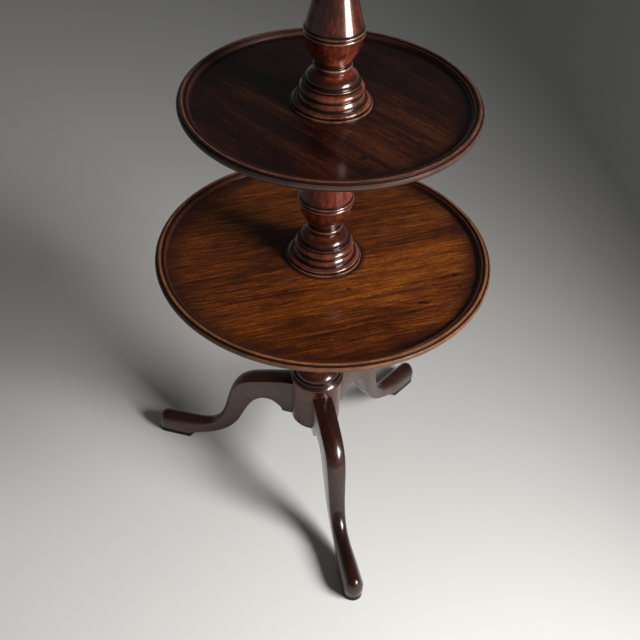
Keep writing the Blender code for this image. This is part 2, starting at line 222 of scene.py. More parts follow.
# Stations along a leg: top place and height, under place and height, width, crown depth.
leg_stations_share = (
    (0.045, 0.996, 0.055, 1.000, 1.000, 0.12),
    (0.085, 0.987, 0.066, 1.045, 1.000, 0.14),
    (0.135, 0.974, 0.098, 1.105, 1.000, 0.16),
    (0.190, 0.958, 0.145, 1.155, 0.995, 0.17),
    (0.250, 0.936, 0.207, 1.150, 0.990, 0.18),
    (0.322, 0.908, 0.265, 1.080, 0.975, 0.20),
    (0.390, 0.858, 0.310, 0.965, 0.955, 0.21),
    (0.440, 0.777, 0.342, 0.840, 0.925, 0.22),
    (0.474, 0.675, 0.373, 0.700, 0.880, 0.24),
    (0.499, 0.557, 0.410, 0.540, 0.830, 0.26),
    (0.524, 0.430, 0.472, 0.370, 0.775, 0.28),
    (0.558, 0.322, 0.557, 0.220, 0.720, 0.31),
    (0.608, 0.242, 0.652, 0.115, 0.700, 0.35),
    (0.677, 0.200, 0.740, 0.045, 0.750, 0.40),
    (0.763, 0.183, 0.800, 0.000, 0.850, 0.45),
    (0.862, 0.174, 0.875, 0.000, 0.930, 0.49),
)


def field_h(tier):
    return rim_heights[tier] - dish_depth


def shoulder_h(tier):
    """Top of the stem that carries this tier's bearer."""
    return rim_heights[tier] - tray_t - gap - bearer_t - gap


def stem_seat_h(tier):
    return field_h(tier) - stem_seat_depth + gap


def round_axis(radius, turn, height):
    return Vector((radius * cos(turn), radius * sin(turn), height))


def from_column(away, azimuth, height):
    return column_x + away * cos(azimuth), column_y + away * sin(azimuth), height


def rectangle(half_l, half_w):
    return [(-half_l, -half_w), (half_l, -half_w), (half_l, half_w), (-half_l, half_w)]


# Outlines.

def arc(centre_r, centre_z, half_w, half_h, start, end):
    """Points along a stretch of an ellipse, angles counted from +radius towards +Z."""
    steps = max(4, ceil(abs(end - start) * max(half_w, half_h) / arc_step))
    turns = [start + (end - start) * i / steps for i in range(steps + 1)]
    return [(centre_r + half_w * cos(a), centre_z + half_h * sin(a)) for a in turns]


def turned_rows(rows, foot_z, r_unit, h_unit):
    """Outline of a stack of mouldings, from the foot up."""
    points = []
    z = foot_z
    for foot, head, height, bow in rows:
        steps = max(6, ceil(height * h_unit / (2 * arc_step))) if bow else 1
        for i in range(steps + 1):
            t = i / steps
            radius = foot + (head - foot) * t + bow * sin(pi * t)
            points.append((radius * r_unit, z + height * h_unit * t))
        z += height * h_unit
    return points


def rows_height(rows, h_unit):
    return sum(row[2] for row in rows) * h_unit


def stem_outline(foot_rows, foot_z, top_z):
    """Mouldings, vase, shaft and cap, up to the shoulder that carries a bearer."""
    vase_z = foot_z + rows_height(foot_rows, vase_h)
    shaft_z = vase_z + rows_height(vase_rows_share, vase_h)
    cap_z = top_z - cap_h
    foot_r = shaft_foot_share * stem_base_r
    bow = shaft_bow_share * stem_base_r
    places = [i / shaft_steps for i in range(shaft_steps + 1)]
    shaft = [(foot_r + (shaft_neck_r - foot_r) * t + bow * sin(pi * t),
              shaft_z + (cap_z - shaft_z) * t) for t in places]
    return (turned_rows(foot_rows, foot_z, stem_base_r, vase_h)
            + turned_rows(vase_rows_share, vase_z, stem_base_r, vase_h)
            + shaft + turned_rows(cap_rows_share, cap_z, cap_r, cap_h))


def rim_outline(edge_r, rim_z):
    """From the dished field out over the bead and down round the underside."""
    nose_z = rim_z - bead_h - nose_h
    bead_r = edge_r - nose_w - bead_w / 2
    fillet_r = edge_r - nose_w - bead_w - groove_w
    cove_r = fillet_r - fillet_w - cove_w
    fillet_z = rim_z - fillet_drop
    points = arc(cove_r, fillet_z, cove_w, dish_depth - fillet_drop, -pi / 2, 0.0)
    points += [(fillet_r, fillet_z), (fillet_r + groove_w / 2, rim_z - bead_h)]
    points += arc(bead_r, rim_z - bead_h, bead_w / 2, bead_h, pi, bead_end)
    quirk_r = edge_r - nose_w - quirk_w / 2
    points += [(quirk_r, rim_z - bead_h - quirk_depth)]
    points += arc(edge_r - nose_w, nose_z, nose_w, nose_h, nose_start, 0.0)
    points += arc(edge_r - under_curve_w, nose_z, under_curve_w, nose_z - (rim_z - tray_t),
                  0.0, -pi / 2)[1:]
    return points


def corner_curve(before, corner, after, cut):
    """A short curve that cuts a corner, as polish and wear leave it."""
    back = (before - corner).normalized() * cut
    ahead = (after - corner).normalized() * cut
    places = [i / (curve_points - 1) for i in range(curve_points)]
    return [corner + back * (1 - t) ** 2 + ahead * t ** 2 for t in places]


def softened(outline, radius):
    """Leave out points that lie on the one before, and round each sharp corner."""
    points = [Vector(outline[0])]
    for point in outline[1:]:
        if (Vector(point) - points[-1]).length > tiny:
            points.append(Vector(point))
    result = [points[0]]
    for before, corner, after in zip(points, points[1:], points[2:]):
        back = before - corner
        ahead = after - corner
        if pi - back.angle(ahead) < least_corner:
            result.append(corner)
            continue
        cut = min(radius, most_cut_share * back.length, most_cut_share * ahead.length)
        result += corner_curve(before, corner, after, cut)
    return result + [points[-1]]


def supported(points):
    """Add points along long flats, so that their shading stays flat."""
    result = [points[0]]
    for first, last in zip(points, points[1:]):
        run = last - first
        length = run.length
        places = []
        if length > 4 * mark_reach:
            inner = length - 2 * mark_reach
            count = max(1, ceil(inner / wide_step))
            middle = [mark_reach + inner * i / count for i in range(count + 1)]
            places = [support_w, mark_reach / 2, *middle, length - mark_reach / 2,
                      length - support_w]
        elif length > 4 * support_w:
            inner = length - 2 * support_w
            count = max(1, ceil(inner / (mark_reach / 2)))
            places = [support_w + inner * i / count for i in range(count + 1)]
        result += [first + run * (place / length) for place in places] + [last]
    return result


def signed_area(points):
    pairs = zip(points, points[1:] + points[:1])
    return sum(a.x * b.y - b.x * a.y for a, b in pairs) / 2


def edge_marks(points):
    """How near each point is to a raised arris and to a hollow, from 0 to 1."""
    bends = []
    for before, corner, after in zip(points, points[1:], points[2:]):
        first = corner - before
        second = after - corner
        bends.append((corner, -first.angle_signed(second)))
    wear = []
    grime_and_shade = []
    for point in points:
        raised = 0.0
        hollow = 0.0
        for corner, bend in bends:
            away = (point - corner).length
            if away > 3 * grime_and_shade_reach:
                continue
            if bend > 0:
                raised += bend * exp(-(away / wear_reach) ** 2)
            else:
                hollow -= bend * exp(-(away / grime_and_shade_reach) ** 2)
        wear.append(min(1.0, raised / full_bend))
        grime_and_shade.append(min(1.0, hollow / full_bend))
    return wear, grime_and_shade


# Meshes.

def new_mesh(name, points, faces, marks=None):
    mesh = bpy.data.meshes.new(name)
    mesh.from_pydata(points, [], faces)
    for label, values in (marks or {}).items():
        layer = mesh.attributes.new(label, "FLOAT", "POINT")
        layer.data.foreach_set("value", values)
    return mesh


def lofted_mesh(name, rings, marks=None):
    """A skin over rings with equally many points, closed at both ends."""
    count = len(rings[0])
    last = (len(rings) - 1) * count
    faces = [(i + j, i + (j + 1) % count, i + (j + 1) % count + count, i + j + count)
             for i in range(0, last, count) for j in range(count)]
    faces += [tuple(reversed(range(count))), tuple(range(last, last + count))]
    return new_mesh(name, [place for ring in rings for place in ring], faces, marks)


def prism_mesh(name, corners, low, high):
    """An upright prism over corners given in order round its foot."""
    return lofted_mesh(name, [[(x, y, z) for x, y in corners] for z in (low, high)])


def turned_mesh(name, outline, facets, sway=None, radius=polish_round):
    """Turn a closed section, given as (radius, height) points, about +Z."""
    points = supported(softened(outline, radius))
    closed = (points[0] - points[-1]).length < tiny
    if closed:
        points = points[:-1]
    if signed_area(points) < 0:
        points.reverse()
    wear, grime_and_shade = edge_marks(points)
    places = []
    rings = []
    marks = {"wear": [], "grime_and_shade": []}
    for index, point in enumerate(points):
        count = facets if point.x > tiny else 1
        rings.append((len(places), count))
        for j in range(count):
            turn = 2 * pi * j / facets
            r, z = sway(point.x, point.y, turn) if sway else point
            places.append(round_axis(r, turn, z))
        marks["wear"] += [wear[index]] * count
        marks["grime_and_shade"] += [grime_and_shade[index]] * count
    faces = []
    following = rings[1:] + (rings[:1] if closed else [])
    for (low, low_count), (high, high_count) in zip(rings, following):
        for j in range(facets):
            k = (j + 1) % facets
            face = [low + j % low_count, low + k % low_count,
                    high + k % high_count, high + j % high_count]
            faces.append(list(dict.fromkeys(face)))
    mesh = new_mesh(name, places, [face for face in faces if len(face) > 2], marks)
    mesh.validate()
    mesh.shade_smooth()
    return mesh


def shade(mesh, sharp=bevel_from):
    """Smooth shading, but for the edges that bend more than this."""
    mesh.shade_smooth()
    mesh.set_sharp_from_angle(angle=sharp)
    return mesh


def face_outwards(mesh):
    shape = bmesh.new()
    shape.from_mesh(mesh)
    bmesh.ops.recalc_face_normals(shape, faces=shape.faces)
    shape.to_mesh(mesh)
    shape.free()


def linked(name, data):
    """An object in the scene."""
    item = bpy.data.objects.new(name, data)
    bpy.context.scene.collection.objects.link(item)
    return item


def modified_mesh(target):
    """The mesh that an object's modifiers give."""
    bpy.context.view_layer.update()
    shape = target.evaluated_get(bpy.context.evaluated_depsgraph_get())
    return bpy.data.meshes.new_from_object(shape)


def cut_mesh(mesh, cutters, operation="DIFFERENCE"):
    """The mesh after cuts or unions with other meshes, each given with its place."""
    target = linked("cut_target", mesh)
    tools = []
    for cutter, place in cutters:
        tool = linked("cut_tool", cutter)
        tool.matrix_world = place
        modifier = target.modifiers.new("cut", "BOOLEAN")
        modifier.operation = operation
        modifier.solver = "EXACT"
        modifier.object = tool
        tools.append(tool)
    result = modified_mesh(target)
    for item in tools + [target]:
        bpy.data.objects.remove(item, do_unlink=True)
    return result


def rounded_mesh(mesh, width):
    """The mesh with its sharp edges bevelled."""
    target = linked("bevel_target", mesh)
    bevel = target.modifiers.new("bevel", "BEVEL")
    bevel.width = width
    bevel.segments = 3
    bevel.limit_method = "ANGLE"
    bevel.angle_limit = bevel_from
    bevel.harden_normals = False
    result = modified_mesh(target)
    bpy.data.objects.remove(target, do_unlink=True)
    return shade(result)


# Groups of pieces that a lamp lights, or leaves out.
trays_alone = bpy.data.collections.new("trays_alone")
table_but_trays = bpy.data.collections.new("table_but_trays")
all_but_trays = bpy.data.collections.new("all_but_trays")


def add_piece(node, mesh, material, slot, body, turn=0.0, at=(0.0, 0.0, 0.0)):
    """A piece that stands for a node of the model, placed from the column's axis."""
    item = linked("finished_" + node, mesh)
    if not mesh.materials:
        mesh.materials.append(None)
    item.material_slots[0].link = "OBJECT"
    item.material_slots[0].material = material
    item.matrix_world = (Matrix.Translation((column_x + at[0], column_y + at[1], at[2]))
                         @ Matrix.Rotation(turn, 4, "Z"))
    if slot == "tray_wood":
        trays_alone.objects.link(item)
        all_but_trays.objects.link(item)
    else:
        table_but_trays.objects.link(item)
    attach(item, body)
    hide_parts(node)


# Materials.

# Tones of the woods, from dark to light, and of what lies on them.
lower_tray_tones = ((0.02, 0.0054, 0.0024), (0.086, 0.0194, 0.004), (0.184, 0.0465, 0.0064),
                    (0.335, 0.098, 0.0115))
middle_tray_tones = ((0.005, 0.0018, 0.0014), (0.014, 0.0034, 0.0022), (0.034, 0.0076, 0.0036),
                     (0.088, 0.0235, 0.008))
top_tray_tones = ((0.014, 0.0045, 0.0028), (0.034, 0.01, 0.0045), (0.058, 0.0165, 0.006),
                  (0.09, 0.027, 0.0085))
stem_tones = ((0.01, 0.0022, 0.0016), (0.046, 0.0074, 0.0036), (0.115, 0.0185, 0.008),
              (0.225, 0.042, 0.016))
leg_tones = ((0.006, 0.0022, 0.0018), (0.018, 0.005, 0.0032), (0.042, 0.0105, 0.0058),
             (0.076, 0.02, 0.0096))
bare_tones = ((0.06, 0.026, 0.012), (0.1, 0.045, 0.021), (0.14, 0.068, 0.033),
              (0.19, 0.096, 0.048))
black_tones = ((0.006, 0.0045, 0.004), (0.01, 0.0075, 0.0065), (0.015, 0.011, 0.0095),
               (0.022, 0.0165, 0.014))
gold_wear = (0.3, 0.11, 0.036)
gold_bead = (0.3, 0.112, 0.034)
brown_bead = (0.19, 0.076, 0.042)
gold_nose = (0.15, 0.066, 0.032)
brown_nose = (0.055, 0.03, 0.022)
# Pale wear on the turnings' arrises, which also stands in for the light they catch: partly a painted
# highlight.
red_wear_and_glint = (0.27, 0.15, 0.1)
red_sheen = (1.0, 0.62, 0.5)
dull_wear = (0.095, 0.036, 0.022)
pale_wear = (0.26, 0.14, 0.075)
# Near black for pores, stains and patina, and for grime with painted shade in hollows.
dark_grime_and_shade = (0.0035, 0.002, 0.0018)
# Dark purple-brown for the grooves, for dirt, and for painted shade on the trays.
purple_dark = (0.016, 0.0055, 0.005)
# Painted shade for the domes of the turnings.
dome_shade_tone = (0.013, 0.0042, 0.0034)
rim_brown = (0.042, 0.014, 0.0088)
dark_iron = (0.04, 0.037, 0.036)
pale_iron = (0.085, 0.078, 0.074)
rust_brown = (0.085, 0.034, 0.015)
rust_band = (0.52, 0.7)
dark_paint = (0.7, 0.7, 0.685)
pale_paint = (0.76, 0.76, 0.745)

# Small marks on a tray: place from its middle, half length, half width and strength.
lower_tray_stains = (
    (0.137, -0.163, 0.011, 0.006, 0.80),
    (0.114, -0.179, 0.005, 0.0035, 0.90),
    (0.213, -0.102, 0.005, 0.004, 0.85),
    (0.214, -0.133, 0.004, 0.004, 0.70),
    (0.025, -0.202, 0.0025, 0.005, 0.75),
    (0.021, -0.100, 0.005, 0.003, 0.85),
    (-0.013, -0.192, 0.0025, 0.004, 0.55),
    (-0.089, -0.089, 0.004, 0.003, 0.60),
    (0.084, 0.080, 0.006, 0.003, 0.70),
    (0.056, -0.208, 0.014, 0.008, 0.45),
)
middle_tray_stains = (
    (-0.124, -0.077, 0.010, 0.008, 0.60),
    (-0.080, -0.058, 0.016, 0.006, 0.55),
    (0.008, -0.168, 0.011, 0.006, 0.80),
    (0.004, -0.196, 0.012, 0.005, 0.75),
)

# Layers of the grain, broad to fine: scale along and across it, detail, roughness, distortion.
grain_layers = (
    ((2.2, 13.0, 13.0), 3.0, 0.5, 0.5),
    ((5.0, 7.0, 7.0), 2.0, 0.5, 0.0),
    ((4.0, 130.0, 130.0), 4.0, 0.7, 0.3),
    ((26.0, 330.0, 330.0), 4.0, 0.75, 0.15),
)
broad_by = 0.9
drift_by = 0.5
pore_across = 950.0
fleck_across = 420.0
fleck_stretch = 1.6
fleck_by = 0.45

# Bands of dirt, wear and painted shade, each from where it starts to where it is full or gone.
field_dirt_and_shade_band = (-0.040, 0.004)
field_dirt_and_shade_wander = 0.060
foot_shadow_and_dirt_band = (0.002, 0.012)
groove_band = (-0.0012, -0.0004)
bead_rise_band = (0.0012, 0.0026)
bead_fall_band = (0.0050, 0.0074)
nose_band = (-0.0034, -0.0022)
under_edge_shade_band = (-0.008, -0.006)
under_nose_shade_band = (-0.0022, -0.0008)
stain_band = (0.55, 1.15)
stain_wander = 0.012
stain_ragged = 90.0
dome_foot_band = (0.0, 0.001)
dome_head_band = (-0.008, 0.0)
dome_rows = 5
dome_shade_by = 0.85
patina_by = 0.55
cove_brown_by = 0.8
under_nose_shade_by = 0.9
field_dirt_and_shade_by = 0.62
foot_shadow_and_dirt_by = 0.92


def set_stops(ramp, stops):
    """Give a colour ramp its places and colours."""
    points = ramp.elements
    while len(points) < len(stops):
        points.new(0.5)
    for point, (place, color) in zip(points, stops):
        point.position = place
        point.color = (*color, 1.0)


class Finish:
    """A procedural material: its nodes are added and joined here."""

    def __init__(self, name, roughness, specular=0.5, coat=(0.0, 0.1), place=None):
        self.material = bpy.data.materials.new(name)
        self.material.use_nodes = True
        self.tree = self.material.node_tree
        self.shader = self.tree.nodes["Principled BSDF"]
        self.set("Roughness", roughness)
        self.set("Specular IOR Level", specular)
        self.set("Coat Weight", coat[0])
        self.set("Coat Roughness", coat[1])
        if place:
            self.coords = self.node("Attribute", {}, "Vector", attribute_name=place)
        else:
            self.coords = self.node("TexCoord", {}, "Object")

    def set(self, socket, value):
        """Set one of the shader's sockets to a plain value, or join it to an output."""
        self.join(value, self.shader.inputs[socket])

    def join(self, value, socket):
        if isinstance(value, bpy.types.NodeSocket):
            self.tree.links.new(value, socket)
        else:
            socket.default_value = value

    def node(self, kind, inputs, output, **settings):
        """Add a node, fill its inputs and give one of its outputs."""
        made = self.tree.nodes.new("ShaderNode" + kind)
        for key, value in settings.items():
            setattr(made, key, value)
        for socket, value in inputs.items():
            self.join(value, made.inputs[socket])
        return made.outputs[output]

    def mapped(self, scale, turn=(0.0, 0.0, 0.0), shift=(0.0, 0.0, 0.0)):
        """Coordinates turned first and then scaled, so that a scale can stretch along the grain."""
        turned = self.node("Mapping", {"Vector": self.coords, "Rotation": turn}, "Vector")
        return self.node("Mapping", {"Vector": turned, "Scale": scale, "Location": shift}, "Vector")

    def noise(self, vector, scale=1.0, detail=2.0, roughness=0.5, distortion=0.0):
        inputs = {"Vector": vector, "Scale": scale, "Detail": detail, "Roughness": roughness,
                  "Distortion": distortion}
        return self.node("TexNoise", inputs, "Fac")

    def math(self, operation, *values):
        return self.node("Math", dict(enumerate(values)), "Value", operation=operation)

    def times(self, first, second):
        return self.math("MULTIPLY", first, second)

    def fade(self, value, low, high, to_low=0.0, to_high=1.0):
        """A smooth step as the value goes from low to high."""
        inputs = {"Value": value, "From Min": low, "From Max": high, "To Min": to_low,
                  "To Max": to_high}
        return self.node("MapRange", inputs, "Result", interpolation_type="SMOOTHSTEP")

    def step(self, value, start, band, to_low=0.0, to_high=1.0):
        """A fade over a band that is measured from a start."""
        return self.fade(value, start + band[0], start + band[1], to_low, to_high)

    def distance(self, x=0.0, y=0.0, x_scale=1.0, y_scale=1.0, source=None):
        """Distance in the plane from an upright line, with a stretch along X and Y."""
        inputs = {"Vector": source or self.coords, "Scale": (x_scale, y_scale, 0.0),
                  "Location": (-x * x_scale, -y * y_scale, 0.0)}
        flat = self.node("Mapping", inputs, "Vector")
        return self.node("VectorMath", {0: flat}, "Value", operation="LENGTH")

    def height(self):
        return self.node("SeparateXYZ", {0: self.coords}, "Z")

    def mark(self, name):
        return self.node("Attribute", {}, "Fac", attribute_name=name)

    def mix(self, share, first, second):
        """Mix two colours, each a tone or an output: a node's sockets 6 and 7, and output 2."""
        inputs = {0: share}
        for index, value in ((6, first), (7, second)):
            inputs[index] = value if isinstance(value, bpy.types.NodeSocket) else (*value, 1.0)
        return self.node("Mix", inputs, 2, data_type="RGBA")

    def paint(self, share, tone):
        """Lay a tone over the colour so far."""
        self.color = self.mix(share, self.color, tone)

    def ramp(self, factor, stops):
        made = self.tree.nodes.new("ShaderNodeValToRGB")
        self.join(factor, made.inputs["Fac"])
        set_stops(made.color_ramp, stops)
        return made.outputs["Color"]

    def bump(self, height, distance, strength, after=None):
        inputs = {"Strength": strength, "Distance": distance, "Height": height}
        if after:
            inputs["Normal"] = after
        return self.node("Bump", inputs, "Normal")


def wood_finish(name, tones, turn, grain, roughness, coat, wear_and_glint_tone, wear_and_glint_by=0.5, grime_and_shade_by=0.85,
                figure=1.0, streak_by=0.5, dash_by=0.5, pore_by=0.55, seed=0.0, place=None,
                specular=0.2):
    """Polished mahogany. Tones run from dark to light, and the turn lays the grain along X."""
    wood = Finish(name, roughness, specular, coat, place)
    shift = (seed, 2 * seed, 3 * seed)
    shares = (broad_by * figure, drift_by * figure, streak_by, dash_by)
    body = (1 - sum(shares)) / 2
    for (scale, *look), share in zip(grain_layers, shares):
        layer = wood.noise(wood.mapped(scale, turn, shift), 1.0, *look)
        body = wood.math("MULTIPLY_ADD", layer, share, body)
    places = [i / (len(tones) - 1) for i in range(len(tones))]
    wood.color = wood.ramp(wood.fade(body, 0.18, 0.86), list(zip(places, tones)))
    fleck_scale = (fleck_stretch * grain, fleck_across, fleck_across)
    fleck = wood.noise(wood.mapped(fleck_scale, turn, shift), detail=3.0)
    wood.paint(wood.fade(fleck, 0.40, 0.66, 0.0, fleck_by), tones[0])
    pore = wood.noise(wood.mapped((grain, pore_across, pore_across), turn, shift), roughness=0.7)
    wood.pores = wood.fade(pore, 0.56, 0.70)
    wood.paint(wood.times(wood.pores, pore_by), dark_grime_and_shade)
    # Wear on raised arrises. On the turnings its pale tone is partly a painted highlight on the
    # arrises.
    rub = wood.noise(wood.coords, scale=60.0, detail=3.0)
    worn_and_glinting = wood.times(wood.mark("wear"), wood.fade(rub, 0.30, 0.62, 0.35))
    wood.paint(wood.times(worn_and_glinting, wear_and_glint_by), wear_and_glint_tone)
    # Grime and painted crevice shade: points near a hollow are darkened towards near black.
    wood.paint(wood.times(wood.mark("grime_and_shade"), grime_and_shade_by), dark_grime_and_shade)
    return wood


def finish_surface(wood, wave=0.0004, pore_depth=0.00006):
    """Join the colour, and give the polish its slight waves and open pores."""
    wood.set("Base Color", wood.color)
    waves = wood.noise(wood.coords, scale=22.0, detail=1.0)
    normal = wood.bump(waves, wave, 0.35)
    closed = wood.math("SUBTRACT", 1.0, wood.pores)
    wood.set("Normal", wood.bump(closed, pore_depth, 0.6, normal))
    return wood.material


def paint_stains(wood, stains):
    """Small dark marks with ragged edges."""
    wobble = wood.node("TexNoise", {"Vector": wood.coords, "Scale": stain_ragged}, "Color")
    spread = wood.node("VectorMath", {0: wobble, "Scale": stain_wander}, "Vector",
                       operation="SCALE")
    moved = wood.node("VectorMath", {0: wood.coords, 1: spread}, "Vector", operation="ADD")
    middle = 0.5 * stain_wander
    for x, y, half_x, half_y, strength in stains:
        away = wood.distance(x + middle, y + middle, 1 / half_x, 1 / half_y, moved)
        wood.paint(wood.fade(away, *stain_band, strength, 0.0), dark_grime_and_shade)


def paint_rim(wood, tier, bead_tone, nose_tone):
    """A brown cove, a worn bead between dark grooves, a worn nose and painted shade on the curve
    under it.
    """
    edge_r = tray_radii[tier]
    bead_in = edge_r - nose_w - bead_w
    cove_out = bead_in - groove_w - fillet_w
    nose_z = rim_heights[tier] - bead_h - nose_h
    away = wood.distance()
    rubbed = wood.fade(wood.noise(wood.coords, scale=38.0, detail=4.0), 0.25, 0.70, 0.50)
    speckle = wood.fade(wood.noise(wood.coords, scale=280.0, detail=3.0), 0.34, 0.58, 0.55)
    wood.paint(wood.fade(away, cove_out - 0.5 * cove_w, cove_out, 0.0, cove_brown_by), rim_brown)
    wood.paint(wood.step(away, bead_in, groove_band), purple_dark)
    bead = wood.times(wood.step(away, bead_in, bead_rise_band),
                      wood.step(away, bead_in, bead_fall_band, 1.0, 0.0))
    wood.paint(wood.times(wood.times(bead, rubbed), speckle), bead_tone)
    wood.paint(wood.times(wood.step(away, edge_r, nose_band), rubbed), nose_tone)
    # Painted shade: the curve under the nose is darkened, as it lies under the rim.
    low = wood.step(wood.height(), nose_z, under_nose_shade_band, under_nose_shade_by, 0.0)
    wood.paint(wood.times(wood.step(away, edge_r, under_edge_shade_band), low), purple_dark)


def tray_finish(tier, tones, bead_tone, nose_tone, grain_turn, coat, figure, seed, stains=()):
    """Grain along one line, dirt with painted shade next to the cove, and a painted shadow with some
    dirt round the stem's foot.
    """
    wood = wood_finish(tier + "_tray_wood", tones, (0.0, 0.0, -grain_turn), 95.0, 0.40, coat,
                       gold_wear, wear_and_glint_by=0.60, figure=figure, streak_by=0.7, dash_by=1.1,
                       seed=seed, specular=0.12)
    field_r = tray_radii[tier] - nose_w - bead_w - groove_w - fillet_w - cove_w
    # Dirt and painted shade: the field darkens towards the cove, under the raised rim.
    uneven = wood.noise(wood.mapped((9.0, 9.0, 9.0), shift=(seed, seed, seed)), detail=3.0)
    wander = wood.times(wood.math("SUBTRACT", uneven, 0.5), field_dirt_and_shade_wander)
    away = wood.math("ADD", wood.distance(), wander)
    wood.paint(wood.step(away, field_r, field_dirt_and_shade_band, 0.0, field_dirt_and_shade_by), purple_dark)
    # Painted contact shadow, with some dirt: a near-black ring on the tray round the stem's foot.
    if tier != "top":
        foot_shadow_and_dirt = wood.step(wood.distance(), stem_base_r, foot_shadow_and_dirt_band, foot_shadow_and_dirt_by, 0.0)
        wood.paint(foot_shadow_and_dirt, purple_dark)
    paint_stains(wood, stains)
    paint_rim(wood, tier, bead_tone, nose_tone)
    return finish_surface(wood)


def paint_dome_shade(wood):
    """Painted shade: the dome under each vase and the drum's ring are darkened, in place of the dark
    reflections and shade on them.
    """
    foot_h = rows_height(base_rows_share, vase_h)
    vase_feet = (drum_base_h + drum_h, stem_seat_h("lower") + foot_h,
                 stem_seat_h("middle") + foot_h)
    height = wood.height()
    for vase_z, bright_rows in zip(vase_feet, (0, 3, 3)):
        low = vase_z + rows_height(vase_rows_share[:bright_rows], vase_h)
        high = vase_z + rows_height(vase_rows_share[:dome_rows], vase_h)
        dome_shade_share = wood.times(wood.step(height, low, dome_foot_band),
                             wood.step(height, high, dome_head_band, 1.0, 0.0))
        # Painted shade: the dome is darkened towards near black.
        wood.paint(wood.times(dome_shade_share, dome_shade_by), dome_shade_tone)


def stem_finish():
    # Pale arrises: wear, and in part a painted highlight where they catch light.
    wood = wood_finish("stem_wood", stem_tones, (0.0, radians(90.0), 0.0), 95.0, 0.30, (0.8, 0.11),
                       red_wear_and_glint, grime_and_shade_by=0.95, figure=1.1, streak_by=0.9, dash_by=0.4,
                       pore_by=0.35, seed=3.0, specular=0.25)
    patina = wood.noise(wood.mapped((26.0, 26.0, 40.0)), detail=3.0, distortion=0.4)
    wood.paint(wood.fade(patina, 0.44, 0.68, 0.0, patina_by), dark_grime_and_shade)
    paint_dome_shade(wood)
    wood.set("Specular Tint", (*red_sheen, 1.0))
    return finish_surface(wood, wave=0.0003)


def leg_finish():
    wood = wood_finish("leg_wood", leg_tones, (0.0, radians(-38.0), 0.0), 80.0, 0.34, (0.9, 0.15),
                       dull_wear, grime_and_shade_by=0.9, figure=0.9, streak_by=0.45, pore_by=0.35,
                       seed=5.0, place="leg_place")
    return finish_surface(wood, wave=0.0005)


def bearer_finish():
    wood = wood_finish("bearer_wood", bare_tones, (0.0, 0.0, radians(30.0)), 80.0, 0.58,
                       (0.0, 0.3), pale_wear, wear_and_glint_by=0.4, grime_and_shade_by=0.7, seed=7.0)
    return finish_surface(wood, wave=0.0002, pore_depth=0.0001)


def pad_finish():
    wood = wood_finish("pad_wood", black_tones, (0.0, 0.0, 0.0), 80.0, 0.50, (0.0, 0.3),
                       dull_wear, wear_and_glint_by=0.35, grime_and_shade_by=0.5, seed=9.0, place="leg_place")
    return finish_surface(wood, wave=0.0002, pore_depth=0.0001)


def iron_finish():
    """Forged iron, dull and a little rusted."""
    iron = Finish("old_iron", 0.55)
    forge = iron.noise(iron.coords, scale=160.0, detail=4.0)
    rust = iron.noise(iron.coords, scale=420.0, detail=5.0, roughness=0.7)
    color = iron.mix(forge, dark_iron, pale_iron)
    iron.set("Base Color", iron.mix(iron.fade(rust, *rust_band), color, rust_brown))
    iron.set("Metallic", iron.fade(rust, *rust_band, 0.95, 0.25))
    iron.set("Roughness", iron.fade(forge, 0.3, 0.7, 0.46, 0.66))
    iron.set("Normal", iron.bump(forge, 0.0003, 0.5))
    return iron.material


# Pieces.

def rim_sway(edge_r, seed):
    """Slight, inward unevenness of a hand-turned rim."""
    start = edge_r - sway_reach

    def sway(r, z, turn):
        share = min(1.0, max(0.0, (r - start) / (edge_r - start)))
        slow = noise.noise(round_axis(slow_waves, turn, seed))
        fast = noise.noise(round_axis(fast_waves, turn, seed))
        inward = share * (slow_inward * (slow + 1) + fast_inward * (fast + 1))
        down = share * slow_down * (slow + 1)
        return r - inward, z - down

    return sway


def make_tray(tier, material, seed):
    edge_r = tray_radii[tier]
    field_z = field_h(tier)
    under_z = rim_heights[tier] - tray_t
    rim = rim_outline(edge_r, rim_heights[tier])
    if tier == "top":
        outline = [(0.0, field_z)] + rim + [(0.0, under_z)]
    else:
        bore_r = spindle_r + gap
        seat_r = stem_base_r + gap
        seat_z = field_z - stem_seat_depth
        in_bore = (bore_r, (seat_z + under_z) / 2)
        outline = ([in_bore, (bore_r, seat_z), (seat_r, seat_z), (seat_r, field_z)] + rim
                   + [(bore_r, under_z), in_bore])
    mesh = turned_mesh(tier + "_tray", outline, tray_facets, rim_sway(edge_r, seed), tray_round)
    add_piece(tier + "_tray", mesh, material, "tray_wood", tier + "_turntable")


def spindle_outline(seat_z, carried_tier):
    """The stem's spindle, down through the tray and its bearer into the socket below."""
    tip_z = shoulder_h(carried_tier) - socket_depth + gap
    return [(0.0, tip_z), (spindle_r - end_chamfer, tip_z), (spindle_r, tip_z + end_chamfer),
            (spindle_r, seat_z)]


def socket_outline(top_z):
    radius = spindle_r + gap
    floor_z = top_z - socket_depth
    return [(radius, top_z), (radius, floor_z), (0.0, floor_z)]


def pivot_outline(top_z):
    """The pin on the upper stem that the top bearer turns on."""
    pivot_z = top_z + gap + bearer_t - pivot_top_gap
    return [(pivot_r, top_z), (pivot_r, pivot_z - end_chamfer), (pivot_r - end_chamfer, pivot_z),
            (0.0, pivot_z)]


def make_stem(node, under, over, end_outline, turn, material):
    base_z = stem_seat_h(under)
    top_z = shoulder_h(over)
    outline = (spindle_outline(base_z, under) + stem_outline(base_rows_share, base_z, top_z)
               + end_outline(top_z))
    add_piece(node, turned_mesh(node, outline, stem_facets), material, "stem_wood", "stand", turn)


